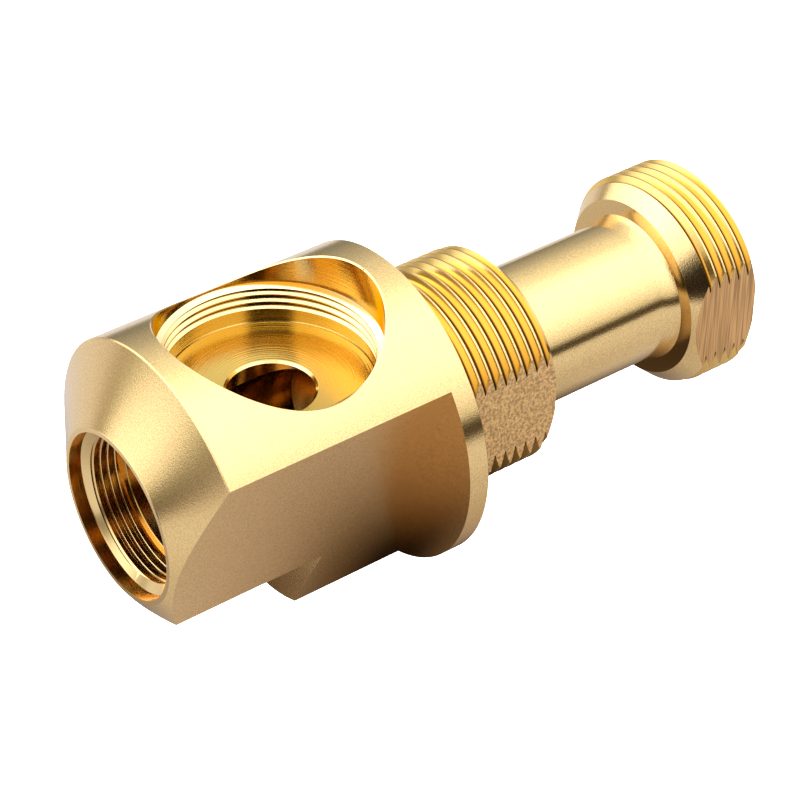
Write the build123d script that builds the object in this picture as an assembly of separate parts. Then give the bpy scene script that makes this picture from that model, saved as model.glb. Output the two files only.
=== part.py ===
from build123d import *
import math
import os

# One-piece turned and milled valve body.
# Main axis +X runs from the mouth of the near socket to the far end; +Z is the
# axis of the top bore; -Y is the side that carries the milled flats. mm.
# Stations are measured from the mouth; the finished body is then moved so that
# the origin is the centre of the flange face that seats on its panel.

# ---- driving dimensions ----
BODY_R = 19.3            # turned body and flange
BODY_LENGTH = 34.3       # mouth to flange
FLANGE_T = 2.75
FLANGE_BREAK = 0.15
LIP_R = 10.8             # outer edge of the flat lip round the mouth
CONE_DEG = 60.0          # slope of the nose cone, from the axis

THREAD_R = 13.5          # M27 x 1.5 outside threads, crest
PANEL_THREAD_LENGTH = 15.75
PANEL_LEAD_IN = 1.5      # along the axis
LEAD_IN_DEPTH = 1.7      # across, on both threads
NECK_R = 8.85
NECK_LENGTH = 20.7
NECK_FILLET = 0.7
COLLAR_LENGTH = 10.3
COLLAR_FACE_R = 11.55    # outer edge of the collar's face
COLLAR_CONE = 3.0        # length of its cone
END_LEAD_IN = 1.25       # along the axis

FLAT_D = 11.28           # front flat, distance from the axis
FLAT_DEG = 18.0          # its tilt, leaning in towards the bottom
THREAD_FLAT_D = 11.6     # flat along both outside threads
FOOT_D = 11.0            # underside of the near part, distance from the axis
FOOT_LENGTH = 21.6       # mouth to the end wall of that cut
FOOT_WALL_DEG = 17.0     # lean of the end wall

ENTRY_R = 10.05          # near socket, plain entry
ENTRY_DEPTH = 1.55
SOCKET_MINOR_R = 8.96    # M19 x 1 inside thread
SOCKET_LEAD_IN = 0.7
SOCKET_LENGTH = 3.05
PASSAGE_R = 8.05         # passage behind the socket
PASSAGE_END = 29.0       # end of its full width, from the mouth
DRILL_DEG = 59.0         # half angle of the drill point
OUTLET_R = 4.5           # bore through neck and far end
OUTLET_BREAK = 0.5

TOP_X = 20.83            # axis of the top bore, from the mouth
TOP_R = 12.85            # plain upper bore
TOP_STEP_Z = 13.95       # height of the step above the main axis
TOP_STEP_DROP = 0.35
TOP_MINOR_R = 11.96      # M25 x 1 inside thread
TOP_THREAD_LENGTH = 3.0
TOP_RELIEF = 0.14        # relief under the thread, beyond the minor radius
DISH_RIM_Z = 10.1        # rim of the dished floor
DISH_DROP = 1.7          # fall of the floor to the port
PORT_R = 5.05            # port from the floor into the passage
EDGE_BREAK = 0.28        # rim of the top bore, rim of the port


def turned(points):
    """Solid of revolution about the main axis from (x, r) points."""
    face = make_face(Polyline(*[(x, 0, r) for x, r in points], close=True))
    return revolve(face, axis=Axis.X, revolution_arc=360)


def bored(points):
    """Solid of revolution about the top bore's axis from (r, z) points."""
    face = make_face(Polyline(*[(TOP_X + r, 0, z) for r, z in points], close=True))
    return revolve(face, axis=Axis((TOP_X, 0, 0), (0, 0, 1)), revolution_arc=360)


def box(x0, x1, y0, y1, z0, z1):
    return Pos((x0 + x1) / 2, (y0 + y1) / 2, (z0 + z1) / 2) * Box(x1 - x0, y1 - y0, z1 - z0)


# ---- stations along the main axis ----
flange_x = BODY_LENGTH + FLANGE_T
thread_end_x = flange_x + PANEL_THREAD_LENGTH
collar_x = thread_end_x + NECK_LENGTH
length = collar_x + COLLAR_LENGTH
big = 2 * BODY_R         # reach of the cutters past the body

# ---- turned outside ----
cone_x = (BODY_R - LIP_R) / math.tan(math.radians(CONE_DEG))
outside = turned([
    (0, 0), (0, LIP_R), (cone_x, BODY_R),
    (flange_x - FLANGE_BREAK, BODY_R), (flange_x, BODY_R - FLANGE_BREAK),
    (flange_x, THREAD_R),
    (thread_end_x - PANEL_LEAD_IN, THREAD_R),
    (thread_end_x, THREAD_R - LEAD_IN_DEPTH),
    (thread_end_x, NECK_R),
    (collar_x, NECK_R), (collar_x, COLLAR_FACE_R),
    (collar_x + COLLAR_CONE, THREAD_R),
    (length - END_LEAD_IN, THREAD_R), (length, THREAD_R - LEAD_IN_DEPTH),
    (length, 0),
])
neck_corner = [
    e for e in outside.edges().filter_by(GeomType.CIRCLE)
    if abs(e.radius - NECK_R) < 0.001 and abs(e.arc_center.X - collar_x) < 0.001
]
outside = fillet(neck_corner, NECK_FILLET)

# ---- milled flats ----
front = Rot(X=FLAT_DEG) * box(-1, BODY_LENGTH, -big, -FLAT_D, -big, big)
thread_flats = box(flange_x, length + 1, -big, -THREAD_FLAT_D, -big, big)
wall_run = (big - FOOT_D) * math.tan(math.radians(FOOT_WALL_DEG))
foot = extrude(
    make_face(Polyline(
        (-1, 0, -FOOT_D), (FOOT_LENGTH, 0, -FOOT_D),
        (FOOT_LENGTH - wall_run, 0, -big), (-1, 0, -big), close=True)),
    amount=big, dir=(0, 1, 0), both=True)

# ---- passages along the main axis ----
socket_x = ENTRY_DEPTH + SOCKET_LEAD_IN
relief_x = socket_x + SOCKET_LENGTH
point = (PASSAGE_R - OUTLET_R) / math.tan(math.radians(DRILL_DEG))
passage = turned([
    (-1, 0), (-1, ENTRY_R), (ENTRY_DEPTH, ENTRY_R),
    (socket_x, SOCKET_MINOR_R), (relief_x, SOCKET_MINOR_R),
    (relief_x + SOCKET_MINOR_R - PASSAGE_R, PASSAGE_R),
    (PASSAGE_END, PASSAGE_R), (PASSAGE_END + point, OUTLET_R),
    (length - OUTLET_BREAK, OUTLET_R), (length, OUTLET_R + OUTLET_BREAK),
    (length + 1, OUTLET_R + OUTLET_BREAK), (length + 1, 0),
])

# ---- top bore, with the port in its floor ----
thread_top_z = TOP_STEP_Z - TOP_STEP_DROP
thread_low_z = thread_top_z - TOP_THREAD_LENGTH + TOP_RELIEF
port_z = DISH_RIM_Z - DISH_DROP
dish_r = TOP_MINOR_R + TOP_RELIEF
top = bored([
    (0, 0), (PORT_R, 0), (PORT_R, port_z - EDGE_BREAK), (PORT_R + EDGE_BREAK, port_z),
    (dish_r, DISH_RIM_Z), (dish_r, thread_low_z - TOP_RELIEF),
    (TOP_MINOR_R, thread_low_z), (TOP_MINOR_R, thread_top_z),
    (TOP_R, TOP_STEP_Z), (TOP_R, big), (0, big),
])

fitting_body = outside - front - thread_flats - foot - passage - top


# deburred rim where the top bore leaves the round of the body
def on_rim(p):
    on_bore = abs(math.hypot(p.X - TOP_X, p.Y) - TOP_R) < 0.01
    return on_bore and abs(math.hypot(p.Y, p.Z) - BODY_R) < 0.01


rim = [e for e in fitting_body.edges() if all(on_rim(e @ t) for t in (0.1, 0.5, 0.9))]
fitting_body = chamfer(rim, EDGE_BREAK)

solids = (Pos(-flange_x, 0, 0) * fitting_body).solids()
assert len(solids) == 1, len(solids)
result = solids[0]
result.label = "fitting_body"
os.makedirs("parts", exist_ok=True)
export_step(result, "parts/fitting_body.step")
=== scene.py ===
import math

import bmesh
import bpy
from mathutils import Matrix, Vector


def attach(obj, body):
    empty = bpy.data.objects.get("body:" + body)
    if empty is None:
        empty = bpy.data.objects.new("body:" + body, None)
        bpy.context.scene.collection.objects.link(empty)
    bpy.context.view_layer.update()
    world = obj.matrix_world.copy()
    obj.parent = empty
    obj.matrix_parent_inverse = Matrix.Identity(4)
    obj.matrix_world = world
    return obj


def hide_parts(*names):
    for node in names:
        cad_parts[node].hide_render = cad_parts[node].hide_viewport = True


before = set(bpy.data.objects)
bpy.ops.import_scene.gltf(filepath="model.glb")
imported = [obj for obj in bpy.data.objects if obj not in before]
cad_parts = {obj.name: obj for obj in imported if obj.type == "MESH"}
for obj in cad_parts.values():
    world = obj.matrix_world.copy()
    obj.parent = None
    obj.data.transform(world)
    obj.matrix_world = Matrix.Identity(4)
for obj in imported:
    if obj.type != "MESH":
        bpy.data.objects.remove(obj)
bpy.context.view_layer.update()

# ---------------------------------------------------------------------------
# The finishes of the body. It is one bar of free-cutting brass, and the tool
# that last touched a face gives it its look: turned rings, milled satin,
# a polished bore or the bright flanks of a thread. Some colours are painted
# light: painted shade in the thread roots, and painted highlights on the bore
# step and the broken edges.
# ---------------------------------------------------------------------------
MM = 0.001
FLANGE_FACE = 37.05          # mouth of the socket to the seating face, mm
TOP_AXIS = 20.83             # mouth of the socket to the axis of the top bore, mm
THREAD_R = 13.5              # crest of both outside threads
TOP_CREST_R = 11.96          # inside thread of the top bore
SOCKET_CREST_R = 8.96        # inside thread of the socket
# Painted shade: the dark colour laid into the roots of the threads.
ROOT_PAINTED_SHADE = (0.10, 0.045, 0.01)
RINGS = 5.0                  # tool rings per mm
GRAIN = 6.5                  # grains per mm


class Wire:
    """A shader socket that Python expressions work on."""

    def __init__(self, graph, socket):
        self.graph, self.socket = graph, socket

    def _math(self, operation, *values):
        return self.graph.node("ShaderNodeMath", {"operation": operation}, *values)

    def __add__(self, other):
        return self._math("ADD", self, other)

    __radd__ = __add__

    def __sub__(self, other):
        return self._math("SUBTRACT", self, other)

    def __rsub__(self, other):
        return self._math("SUBTRACT", other, self)

    def __mul__(self, other):
        return self._math("MULTIPLY", self, other)

    __rmul__ = __mul__

    def __truediv__(self, other):
        return self._math("DIVIDE", self, other)

    def __pow__(self, other):
        return self._math("POWER", self, other)


class Graph:
    """The nodes of one material, or of the room round the body."""

    def __init__(self, owner, end):
        owner.use_nodes = True
        self.owner, self.tree = owner, owner.node_tree
        self.end = next(n for n in self.tree.nodes if n.type == end)

    def feed(self, socket, value):
        if isinstance(value, Wire):
            self.tree.links.new(value.socket, socket)
        else:
            socket.default_value = value

    def node(self, kind, settings, *values, output=0, **named):
        made = self.tree.nodes.new(kind)
        for key, value in settings.items():
            if key == "stops":
                ramp = made.color_ramp
                while len(ramp.elements) < len(value):
                    ramp.elements.new(0.5)
                for element, (place, colour) in zip(ramp.elements, value):
                    element.position, element.color = place, (*colour, 1)
            else:
                setattr(made, key, value)
        pairs = list(enumerate(values))
        pairs += [(key.replace("_", " "), value) for key, value in named.items()]
        for key, value in pairs:
            self.feed(made.inputs[key], value)
        return Wire(self, made.outputs[output])

    def set(self, **named):
        for key, value in named.items():
            self.feed(self.end.inputs[key.replace("_", " ")], value)

    def ramp(self, value, stops):
        return self.node("ShaderNodeValToRGB", {"stops": stops}, value)

    def mix(self, weight, one, other, way="MIX"):
        """Mix of two colours, which are inputs 6 and 7 of the node."""
        mixed = self.node("ShaderNodeMix", {"data_type": "RGBA", "blend_type": way}, output=2)
        for place, value in ((0, weight), (6, one), (7, other)):
            self.feed(mixed.socket.node.inputs[place], value)
        return mixed

    def parts(self, vector):
        split = self.node("ShaderNodeSeparateXYZ", {}, vector)
        return [Wire(self, split.socket.node.outputs[i]) for i in range(3)]

    def point(self):
        """Place on the body in mm: from the mouth, sideways and up."""
        x, y, z = (v / MM for v in self.parts(self.node("ShaderNodeTexCoord", {}, output=3)))
        return x + FLANGE_FACE, y, z

    def noise(self, x, y=0.0, z=0.0, detail=2.0):
        spot = self.node("ShaderNodeCombineXYZ", {}, x, y, z)
        return self.node("ShaderNodeTexNoise", {}, spot, Scale=1.0, Detail=detail)

    def relief(self, height, depth):
        """Bump of a height from 0 to 1, `depth` in mm."""
        bump = self.node("ShaderNodeBump", {}, Height=height, Distance=depth * MM)
        self.set(Normal=bump)


def dulled(finish, colour, speck, depth):
    """Colour that a speck from 0 to 1 darkens by a share `depth`."""
    dark = [c * (1 - depth) for c in colour]
    pale = [min(1.0, c * (1 + depth / 2)) for c in colour]
    finish.set(Base_Color=finish.ramp(speck, [(0.36, dark), (0.62, pale)]))


def brass(name, colour, roughness):
    finish = Graph(bpy.data.materials.new(name), "BSDF_PRINCIPLED")
    finish.set(Base_Color=(*colour, 1), Metallic=1.0, Roughness=roughness)
    return finish


def lathe(name, colour, roughness, rings, grain, upright=False, stain=0.12):
    """Turned or bored brass: tool rings round its axis, and a fine grain."""
    finish = brass(name, colour, roughness)
    x, y, z = finish.point()
    if upright:
        along, reach = z, ((x - TOP_AXIS) ** 2 + y ** 2) ** 0.5
    else:
        along, reach = x, (y ** 2 + z ** 2) ** 0.5
    feed = finish.noise((along + reach) * RINGS)
    speck = finish.noise(x * GRAIN, y * GRAIN, z * GRAIN, detail=1.0)
    finish.relief(feed * rings + speck * grain, 0.1)
    dulled(finish, colour, speck, stain)
    return finish


def thread(name, colour, roughness, root, crest, upright=False):
    """Thread flanks, with painted shade darkening the root; radii in mm."""
    finish = brass(name, colour, roughness)
    x, y, z = finish.point()
    reach = ((x - TOP_AXIS) ** 2 + y ** 2) ** 0.5 if upright else (y ** 2 + z ** 2) ** 0.5
    height = (reach - root) / (crest - root)
    # Painted shade: the base colour goes dark towards the root of the thread.
    finish.set(Base_Color=finish.ramp(height, [(0.05, ROOT_PAINTED_SHADE), (0.30, colour)]))
    return finish


turned = lathe("turned brass", (0.83, 0.60, 0.28), 0.13, rings=0.02, grain=0.07, stain=0.16)
bored = lathe(
    "bored brass", (0.80, 0.56, 0.20), 0.12, rings=0.12, grain=0.04, upright=True)
bored.set(Specular_Tint=(0.55, 0.32, 0.10, 1))
faced = lathe(
    "faced floor brass", (0.68, 0.47, 0.13), 0.15, rings=0.28, grain=0.02, upright=True, stain=0.05)
drilled = lathe("drilled brass", (0.52, 0.31, 0.09), 0.18, rings=0.10, grain=0.04)
entry = lathe("socket brass", (0.68, 0.42, 0.13), 0.14, rings=0.10, grain=0.03)
outer_thread = thread("outer thread brass", (0.86, 0.59, 0.20), 0.15, 12.58, THREAD_R)
pale_brass = (0.88, 0.66, 0.30)
top_thread = thread("top thread brass", pale_brass, 0.14, 12.42, TOP_CREST_R, upright=True)
socket_thread = thread("socket thread brass", pale_brass, 0.14, 9.26, SOCKET_CREST_R)
# The broken edges are chamfers that catch the light; their paler colour adds a painted highlight.
edge_painted_highlight = brass("broken edge brass", (0.88, 0.66, 0.32), 0.15)
# Painted highlight: the bore step gets a near-white brass so that it reads as bright.
step_painted_highlight = brass("bright step brass", (0.93, 0.76, 0.43), 0.12)

milled_colour = (0.82, 0.57, 0.285)
milled = brass("milled brass", milled_colour, 0.20)
x, y, z = milled.point()
speck = milled.noise(x * 5.0, y * 5.0, z * 5.0, detail=2.0)
milled.relief(speck, 0.03)
dulled(milled, milled_colour, speck, 0.16)

flat_colour = (0.80, 0.51, 0.22)
speckled = brass("speckled flat brass", flat_colour, 0.22)
x, y, z = speckled.point()
speck = speckled.noise(x * 3.2, y * 3.2, z * 2.4, detail=2.0)
speckled.relief(speck, 0.2)
dulled(speckled, flat_colour, speck, 0.36)

streak_colour = (0.62, 0.36, 0.15)
streaked = brass("streaked flat brass", streak_colour, 0.22)
x, y, z = streaked.point()
speck = streaked.noise(x * 4.0, 0.0, z * 0.12, detail=1.0)
streaked.relief(speck, 0.08)
dulled(streaked, streak_colour, speck, 0.34)

# ---------------------------------------------------------------------------
# The turned blank: the whole outside of the body from the nose cone to the
# far collar, turned from bar in one setting.
# ---------------------------------------------------------------------------


def placed(form, name, finish):
    """Puts a bmesh into the scene as an object of one finish."""
    mesh = bpy.data.meshes.new(name)
    form.to_mesh(mesh)
    form.free()
    mesh.materials.append(finish.owner)
    made = bpy.data.objects.new(name, mesh)
    bpy.context.scene.collection.objects.link(made)
    return made


def spun(name, points, centre, axis, finish, steps=256, begin=0.0, closed=False):
    """Solid of revolution of (along, radius) points in mm. `begin` is the angle of
    the first section, so that no two cutters share an edge."""
    form = bmesh.new()
    along = Vector(axis)
    across = Vector((0, 0, 1)) if abs(along.x) > 0.5 else Vector((1, 0, 0))
    across.rotate(Matrix.Rotation(math.radians(begin), 3, along))
    ring = [form.verts.new(Vector(centre) + along * a * MM + across * r * MM) for a, r in points]
    edges = [form.edges.new(pair) for pair in zip(ring, ring[1:])]
    if closed:
        edges.append(form.edges.new((ring[-1], ring[0])))
        start = form.faces.new(ring)
        bmesh.ops.duplicate(form, geom=[start])
        bmesh.ops.delete(form, geom=[start], context="FACES_ONLY")
    bmesh.ops.spin(
        form, geom=ring + edges, cent=centre, axis=axis, angle=2 * math.pi,
        dvec=(0, 0, 0), steps=steps, use_merge=True)
    bmesh.ops.remove_doubles(form, verts=form.verts, dist=1e-7)
    if closed:
        bmesh.ops.holes_fill(form, edges=[e for e in form.edges if e.is_boundary], sides=0)
        bmesh.ops.triangulate(form, faces=form.faces)
    bmesh.ops.recalc_face_normals(form, faces=form.faces)
    return placed(form, name, finish)


MOUTH = (-FLANGE_FACE * MM, 0, 0)
ALONG = (1, 0, 0)
BODY_R = 19.3
NECK_R = 8.85
PANEL_END = 52.8             # far end of the panel thread
COLLAR_FACE = 74.0
LENGTH = 83.8
FLARE_R = 6.0                # arc by which the neck widens to the collar
FLARE_DEG = 23.6
FLARE_STEPS = 8
flare = []
for i in range(FLARE_STEPS + 1):
    turn = math.radians(FLARE_DEG * i / FLARE_STEPS)
    back = FLARE_R * (math.sin(math.radians(FLARE_DEG)) - math.sin(turn))
    flare.append((COLLAR_FACE - back, NECK_R + FLARE_R * (1 - math.cos(turn))))
body = spun("fitting", [
    (0, 0), (0, 10.65), (0.08, 10.75), (4.9, BODY_R - 0.15), (5.05, BODY_R),
    (FLANGE_FACE - 0.2, BODY_R), (FLANGE_FACE, BODY_R - 0.2), (FLANGE_FACE, THREAD_R),
    (PANEL_END - 1.5, THREAD_R), (PANEL_END, 11.8), (PANEL_END, NECK_R),
    *flare, (COLLAR_FACE, 11.25), (COLLAR_FACE + 0.1, 11.35),
    (76.5, THREAD_R), (LENGTH - 1.25, THREAD_R), (LENGTH, 11.9), (LENGTH, 0),
], MOUTH, ALONG, turned)


def cut(part, cutter):
    """Takes the cutter out of the part, and its finish onto the faces it leaves."""
    step = part.modifiers.new(cutter.name, "BOOLEAN")
    step.operation, step.solver, step.object = "DIFFERENCE", "EXACT", cutter
    step.material_mode = "TRANSFER"
    bpy.context.view_layer.update()
    graph = bpy.context.evaluated_depsgraph_get()
    done = bpy.data.meshes.new_from_object(part.evaluated_get(graph))
    part.modifiers.clear()
    part.data = done
    bpy.data.objects.remove(cutter)


def paint(part, finish, chosen):
    """Gives a finish to the faces whose middle, in mm from the mouth, is chosen."""
    part.data.materials.append(finish.owner)
    for face in part.data.polygons:
        x, y, z = face.center / MM
        if chosen(x + FLANGE_FACE, y, z):
            face.material_index = len(part.data.materials) - 1


# ---------------------------------------------------------------------------
# The outside threads, M27 x 1.5, single-point cut on the lathe: one next to
# the flange and one on the far collar, both right-handed.
# ---------------------------------------------------------------------------


def groove(name, start, end, crest, depth, pitch, phase, finish,
           centre=MOUTH, upright=False, half=7 / 16, fade=0.15):
    """Helical V cutter between two stations, cut inwards for a depth over 0, which
    runs in and out over a share `fade` of a turn. Its root passes station `phase`
    at the flat's upper edge."""
    side, steps, begin = math.copysign(1, depth), 144, 140.3
    flat_edge = 67.5             # angle at which the station `phase` is met
    tip = 0.04                   # half the width of the root
    mouth, parked, back = crest + 0.03 * side, crest + 0.04 * side, crest + 0.4 * side
    first = phase - pitch * (flat_edge - begin) / 360
    first += pitch * math.ceil((start - first) / pitch)
    sections = int(steps * (end - first) / pitch)
    form, last = bmesh.new(), None
    for i in range(sections + 1):
        share = min(1, i / steps / fade, (sections - i) / steps / fade)
        wide, root = half * pitch, parked - share * (depth + parked - crest)
        shape = [(-wide, mouth), (-tip, root), (tip, root), (wide, mouth), (wide, back),
                 (-wide, back)]
        angle = math.radians(begin + 360 * i / steps)
        ring = []
        for along, reach in shape:
            a = first + along + pitch * i / steps
            b, c = reach * math.cos(angle), reach * math.sin(angle)
            place = (b, c, a) if upright else (a, -c, b)
            ring.append(form.verts.new(Vector(centre) + Vector(place) * MM))
        if last:
            for j in range(len(shape)):
                form.faces.new((last[j], last[j - 1], ring[j - 1], ring[j]))
        else:
            form.faces.new(ring)
        last = ring
    form.faces.new(last)
    bmesh.ops.triangulate(form, faces=form.faces)
    bmesh.ops.recalc_face_normals(form, faces=form.faces)
    return placed(form, name, finish)


cut(body, groove("panel thread", 38.3, 54.3, THREAD_R, 0.92, 1.5, 46.8, outer_thread))
cut(body, groove("outlet thread", 74.3, 85.3, THREAD_R, 0.92, 1.5, 79.31, outer_thread))

# ---------------------------------------------------------------------------
# The milled faces: the tilted front flat, the underside of the near part with
# its leaning end wall, and the flat along both outside threads.
# ---------------------------------------------------------------------------


def block(name, low, high, finish, turn=0.0):
    """Cutter block between two corners in mm from the mouth, turned about the main axis."""
    form = bmesh.new()
    bmesh.ops.create_cube(form, size=1)
    size = [h - l for l, h in zip(low, high)]
    middle = [(l + h) / 2 for l, h in zip(low, high)]
    bmesh.ops.scale(form, vec=[s * MM for s in size], verts=form.verts)
    bmesh.ops.translate(form, vec=[m * MM for m in middle], verts=form.verts)
    tilt = Matrix.Rotation(math.radians(turn), 3, "X")
    bmesh.ops.rotate(form, cent=(0, 0, 0), matrix=tilt, verts=form.verts)
    bmesh.ops.translate(form, vec=MOUTH, verts=form.verts)
    return placed(form, name, finish)


FAR = 40                     # reach of a cutter block past the body, mm
FRONT_D, FRONT_TILT = 11.28, 18
FLAT_D = 11.65               # flats along the outside threads, from the axis
FLATS_MEET = 60              # station under the neck where the two flats part
FOOT_D = 11.0                # underside of the near part, from the axis
WALL_LEAN = 17.0
cut(body, block("front flat", (-2, -FAR, -FAR), (34.3, -FRONT_D, FAR), milled, FRONT_TILT))
cut(body, block(
    "panel thread flat", (FLANGE_FACE, -FAR, -FAR), (FLATS_MEET, -FLAT_D, FAR), speckled))
cut(body, block("outlet thread flat", (FLATS_MEET, -FAR, -FAR), (85, -FLAT_D, FAR), streaked))
foot = block("underside", (-2, -FAR, -FAR), (21.6, FAR, -FOOT_D), milled)
for corner in foot.data.vertices:
    if corner.co.x > -0.02:      # the end towards the flange
        corner.co.x += (corner.co.z + FOOT_D * MM) * math.tan(math.radians(WALL_LEAN))
cut(body, foot)

# ---------------------------------------------------------------------------
# The near socket and the passages along the main axis, bored from the mouth
# and drilled from the far end.
# ---------------------------------------------------------------------------
ENTRY_R = 10.05
PASSAGE_R = 8.05
OUTLET_R = 4.5
cut(body, spun("socket", [
    (-2, 0), (-2, ENTRY_R), (1.55, ENTRY_R), (2.25, SOCKET_CREST_R), (6.0, SOCKET_CREST_R),
    (6.12, PASSAGE_R + 0.1), (6.12, 0),
], MOUTH, ALONG, entry, steps=192, begin=0.7))
# Painted highlight on the chamfer at the mouth of the socket thread.
paint(body, edge_painted_highlight, lambda x, y, z: 1.6 < x < 2.2 and math.hypot(y, z) < ENTRY_R + 0.05)
cut(body, spun("passage", [
    (3, 0), (3, PASSAGE_R + 0.1), (6.12, PASSAGE_R + 0.1), (6.22, PASSAGE_R),
    (29.0, PASSAGE_R), (31.13, OUTLET_R), (LENGTH - 0.5, OUTLET_R), (LENGTH, OUTLET_R + 0.5),
    (86, OUTLET_R + 0.5), (86, 0),
], MOUTH, ALONG, drilled, steps=192, begin=0.3))
cut(body, groove(
    "socket thread", 1.4, 5.6, SOCKET_CREST_R, -0.26, 0.95, 2.75, socket_thread, half=0.27))

# ---------------------------------------------------------------------------
# The top bore: plain upper bore, step, inside thread M25 x 1, shallow floor and
# the port that breaks into the passage.
# ---------------------------------------------------------------------------
PORT = (MOUTH[0] + TOP_AXIS * MM, 0, 0)
UP = (0, 0, 1)
BORE_R = 12.85
STEP_LOW, STEP_HIGH = 13.6, 13.95
PORT_R = 5.05
PORT_LOW, PORT_HIGH = 8.12, 8.5      # chamfer round the port
cut(body, spun("upper bore", [
    (12, 0), (12, TOP_CREST_R), (STEP_LOW, TOP_CREST_R), (STEP_HIGH, BORE_R),
    (30, BORE_R), (30, 0),
], PORT, UP, bored, steps=224, begin=0.4))
# Painted highlight on the step between the upper bore and the top thread.
paint(body, step_painted_highlight, lambda x, y, z: (
    STEP_LOW < z - 0.02 and z + 0.02 < STEP_HIGH
    and TOP_CREST_R + 0.01 < math.hypot(x - TOP_AXIS, y) < BORE_R - 0.01))
cut(body, spun("well", [
    (8, 0), (8.4, 5.33), (8.85, 10.0), (8.95, 11.9), (9.1, 12.0), (10.7, 12.0),
    (10.74, TOP_CREST_R), (13, TOP_CREST_R), (13, 0),
], PORT, UP, faced, steps=224, begin=0.6))
cut(body, spun("port", [
    (0, 0), (0, PORT_R), (PORT_LOW, PORT_R), (PORT_HIGH, PORT_R + 0.38),
    (9, PORT_R + 0.38), (9, 0),
], PORT, UP, drilled, steps=224, begin=0.9))
# Painted highlight on the chamfer round the port.
paint(body, edge_painted_highlight, lambda x, y, z: (
    PORT_LOW + 0.03 < z < PORT_HIGH - 0.02
    and PORT_R + 0.05 < math.hypot(x - TOP_AXIS, y) < PORT_R + 0.35))
cut(body, groove(
    "top thread", 10.3, 13.9, TOP_CREST_R, -0.46, 1.0, 12.25, top_thread, PORT, upright=True))

# The broken edge of the saddle-shaped rim, on the round of the body. The chamfer
# catches the light, and its paler colour adds a painted highlight.
rim = spun("rim", [(-0.22, 12.80), (0.12, 13.14), (0.12, 12.80)],
           PORT, UP, edge_painted_highlight, steps=288, begin=0.2, closed=True)
for corner in rim.data.vertices:
    corner.co.z += (max(BODY_R ** 2 - (corner.co.y / MM) ** 2, 0)) ** 0.5 * MM
cut(body, rim)

body.data.shade_smooth()
body.data.set_sharp_from_angle(angle=math.radians(15))
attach(body, "root")
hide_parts("fitting_body")

# ---------------------------------------------------------------------------
# The floor: a pale sheet well below the body, which is held by its thread.
# ---------------------------------------------------------------------------


def plane(name, half, height, finish):
    """Level square sheet; half its side and its height are in metres."""
    form = bmesh.new()
    bmesh.ops.create_grid(form, x_segments=1, y_segments=1, size=half)
    bmesh.ops.translate(form, vec=(0, 0, height), verts=form.verts)
    return placed(form, name, finish)


pale = Graph(bpy.data.materials.new("pale floor"), "BSDF_PRINCIPLED")
pale.set(Base_Color=(0.9, 0.9, 0.9, 1), Roughness=0.9,
         Emission_Color=(1, 1, 1, 1), Emission_Strength=1.0)
floor = plane("floor", 4, -0.45, pale)
floor.visible_glossy = False

# The table just under the flange shows only as a reflection in the brass. It is a
# glowing sheet hidden from the camera, with painted shadows in its glow: darkest
# where the body stands close over it and in the body's shadow behind.
table_shade = Graph(bpy.data.materials.new("table"), "BSDF_PRINCIPLED")
x, y, z = table_shade.point()
near = (((x - 36.0) / 10.0) ** 2 + ((y - 1.0) / 9.0) ** 2) ** 0.5
under = (((x - 50.0) / 40.0) ** 2 + ((y - 10.0) / 12.0) ** 2) ** 0.5
# Painted contact shadow: the sheet's glow goes dark where the body stands close over it.
painted_contact_shadow = table_shade.ramp(near / 10, [
    (0.09, (0.03, 0.018, 0.01)), (0.136, (0.20, 0.14, 0.09)), (0.21, (0.46, 0.38, 0.32)),
    (0.28, (0.58, 0.50, 0.43)), (0.40, (0.68, 0.63, 0.60)), (0.70, (0.85, 0.81, 0.80)),
    (1.0, (0.90, 0.87, 0.87))])
# Painted cast shadow: the glow dims in the body's shadow behind it.
dim = table_shade.ramp(under / 10, [
    (0.06, (0.12, 0.09, 0.06)), (0.12, (0.40, 0.36, 0.32)), (0.19, (1.0, 1.0, 1.0))])
table_shade.set(
    Base_Color=(0, 0, 0, 1), Roughness=1.0, Specular_IOR_Level=0.0,
    Emission_Color=table_shade.mix(1.0, painted_contact_shadow, dim, "MULTIPLY"), Emission_Strength=1.0)
table = plane("table", 0.15, -19.6 * MM, table_shade)
table.visible_camera = False
table.visible_shadow = False

# ---------------------------------------------------------------------------
# The light: a white tent over a warm pale table. The tent is brightest at the
# back left, there is a dim gap where it meets the table, and a dark card
# stands round the camera.
# ---------------------------------------------------------------------------
room = Graph(bpy.data.worlds.new("room"), "BACKGROUND")
bpy.context.scene.world = room.owner
TENT = 3.0                   # brightness of a ramp's white


def heights(*stops):
    """Ramp stops from (elevation in degrees, red, green, blue) of the room."""
    return [((e + 90) / 180, (r / TENT, g / TENT, b / TENT)) for e, r, g, b in stops]


def bearings(*stops):
    """Ramp stops from (azimuth in degrees, weight)."""
    return [((a + 180) / 360, (w, w, w)) for a, w in stops]


east, north, up = room.parts(room.node("ShaderNodeTexCoord", {}, output=0))
height = room.node("ShaderNodeMath", {"operation": "ARCSINE"}, up) / math.pi + 0.5
bearing = room.node(
    "ShaderNodeMath", {"operation": "ARCTAN2"}, east, 0 - north) / (2 * math.pi) + 0.5

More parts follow.
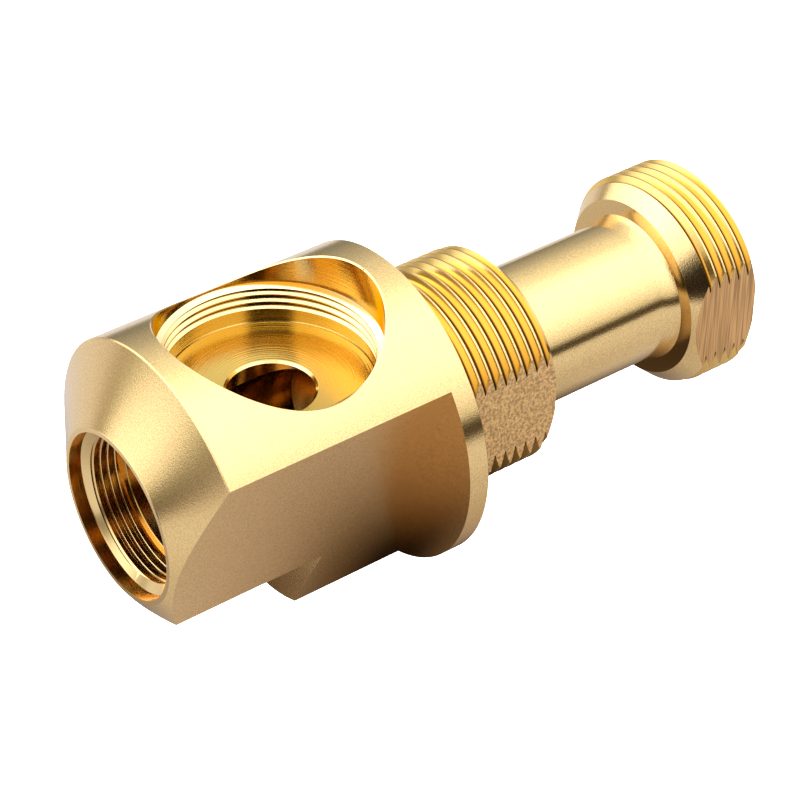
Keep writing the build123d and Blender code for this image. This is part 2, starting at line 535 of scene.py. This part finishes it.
front = room.ramp(height, heights(
    (-90, 0.32, 0.22, 0.15), (-75, 0.36, 0.25, 0.17), (-62, 0.50, 0.44, 0.42),
    (-45, 0.70, 0.66, 0.68), (-20, 0.92, 0.89, 0.92), (-10, 0.86, 0.80, 0.78),
    (-5, 0.08, 0.06, 0.04), (3, 0.08, 0.06, 0.04), (8, 0.90, 0.88, 0.80),
    (20, 1.40, 1.38, 1.34), (40, 2.10, 2.05, 2.00), (60, 2.35, 2.3, 2.25),
    (90, 2.4, 2.35, 2.3)))
left = room.ramp(height, heights(
    (-90, 0.32, 0.22, 0.15), (-75, 0.55, 0.48, 0.45), (-62, 0.80, 0.78, 0.85),
    (-30, 0.95, 0.93, 0.98), (-8, 0.85, 0.80, 0.80), (-2, 0.55, 0.50, 0.45),
    (2, 0.60, 0.60, 0.50), (6, 1.50, 1.48, 1.45), (20, 2.20, 2.20, 2.15),
    (45, 3.0, 3.0, 3.0), (62, 2.60, 2.60, 2.60), (90, 2.4, 2.35, 2.3)))
rear = room.ramp(height, heights(
    (-90, 0.32, 0.22, 0.15), (-75, 0.36, 0.25, 0.17), (-62, 0.42, 0.38, 0.36),
    (-30, 0.80, 0.80, 0.85), (-15, 0.50, 0.50, 0.52), (-6, 0.28, 0.28, 0.24),
    (0, 0.34, 0.34, 0.30), (20, 0.62, 0.62, 0.60), (35, 1.00, 1.00, 0.95),
    (50, 1.40, 1.40, 1.30), (65, 2.1, 2.1, 2.0), (90, 2.4, 2.35, 2.3)))
to_left = room.ramp(bearing, bearings((-180, 1), (-110, 1), (-76, 0), (152, 0), (172, 1)))
to_rear = room.ramp(bearing, bearings((-180, 0), (85, 0), (125, 1), (160, 1), (178, 0)))
card_heights = ((-4, 0), (2, 1), (40, 1), (50, 0.5), (60, 0))
card = room.ramp(bearing, bearings((-64, 0), (-56, 1), (-14, 1), (-6, 0))) * room.ramp(
    height, [((e + 90) / 180, (w, w, w)) for e, w in card_heights])
tent = room.mix(to_rear, room.mix(to_left, front, left), rear)
room.set(Color=room.mix(card, tent, (0.008, 0.006, 0.005, 1)), Strength=TENT)

# ---------------------------------------------------------------------------
# The camera, with a long lens, above and to the left of the front.
# ---------------------------------------------------------------------------
lens = bpy.data.cameras.new("camera")
lens.sensor_width = 36
lens.lens = 127.197
lens.clip_end = 20
camera = bpy.data.objects.new("camera", lens)
camera.location = (-0.154463, -0.209955, 0.200698)
camera.rotation_euler = [math.radians(a) for a in (52.31285, -0.14649, -36.54635)]
bpy.context.scene.collection.objects.link(camera)
bpy.context.scene.camera = camera

scene = bpy.context.scene
scene.view_settings.view_transform = "Standard"
scene.view_settings.look = "None"
